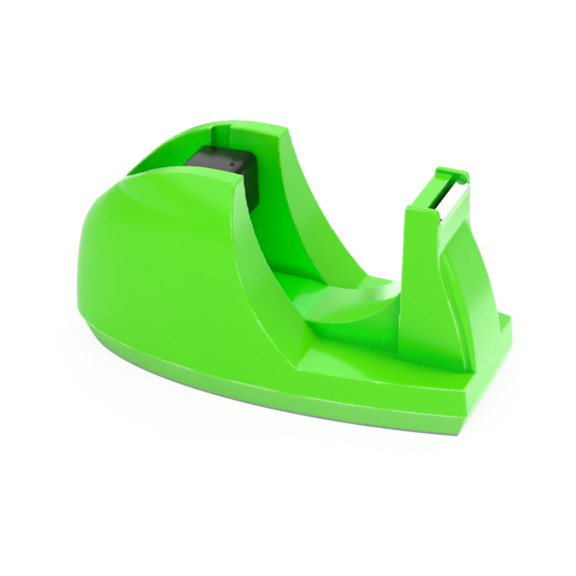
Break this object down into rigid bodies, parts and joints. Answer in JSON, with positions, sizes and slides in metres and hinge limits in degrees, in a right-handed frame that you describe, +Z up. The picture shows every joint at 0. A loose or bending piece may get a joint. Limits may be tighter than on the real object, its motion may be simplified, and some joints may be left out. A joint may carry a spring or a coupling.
{
  "type": "tape dispenser",
  "caption": "Weighted desk tape dispenser: hollow body with two high curved walls round a roll well, a loose square hub on a pin, a finger saddle and a tower with a toothed cutter.",
  "frame": {"origin": "on the table under the middle of the footprint", "axes": "+X from the rear to the cutter, +Y to the side with the open axle slot, +Z up"},
  "size_m": [0.136, 0.0612, 0.0679],
  "materials": {
    "body_plastic": "glossy moulded lime green ABS",
    "plate_plastic": "semi-gloss moulded green ABS, a shade duller than the body",
    "foam_rubber": "matt closed-cell foam rubber",
    "cast_iron": "raw casting",
    "blade_steel": "bright stamped spring steel",
    "zinc_steel": "bright zinc plated",
    "hub_plastic": "glossy moulded black polystyrene"
  },
  "bodies": {
    "base": {"body_shell": "body_plastic", "base_plate": "plate_plastic", "non_slip_pad": "foam_rubber", "ballast_block": "cast_iron", "cutter_blade": "blade_steel", "base_screw_1": "zinc_steel", "base_screw_2": "zinc_steel", "base_screw_3": "zinc_steel", "base_screw_4": "zinc_steel"},
    "hub": {"hub_drum": "hub_plastic", "hub_end_cap": "hub_plastic"},
    "axle": {"hub_axle": "zinc_steel"}
  },
  "joints": [
    {"name": "hub_spin", "type": "hinge", "parent": "base", "child": "hub", "pos_m": [-0.0214, 0, 0.0519], "axis": [0, 1, 0], "continuous": true},
    {"name": "axle_shift", "type": "slide", "parent": "base", "child": "axle", "axis": [0, 1, 0], "range_m": [0, 0.0019]}
  ]
}
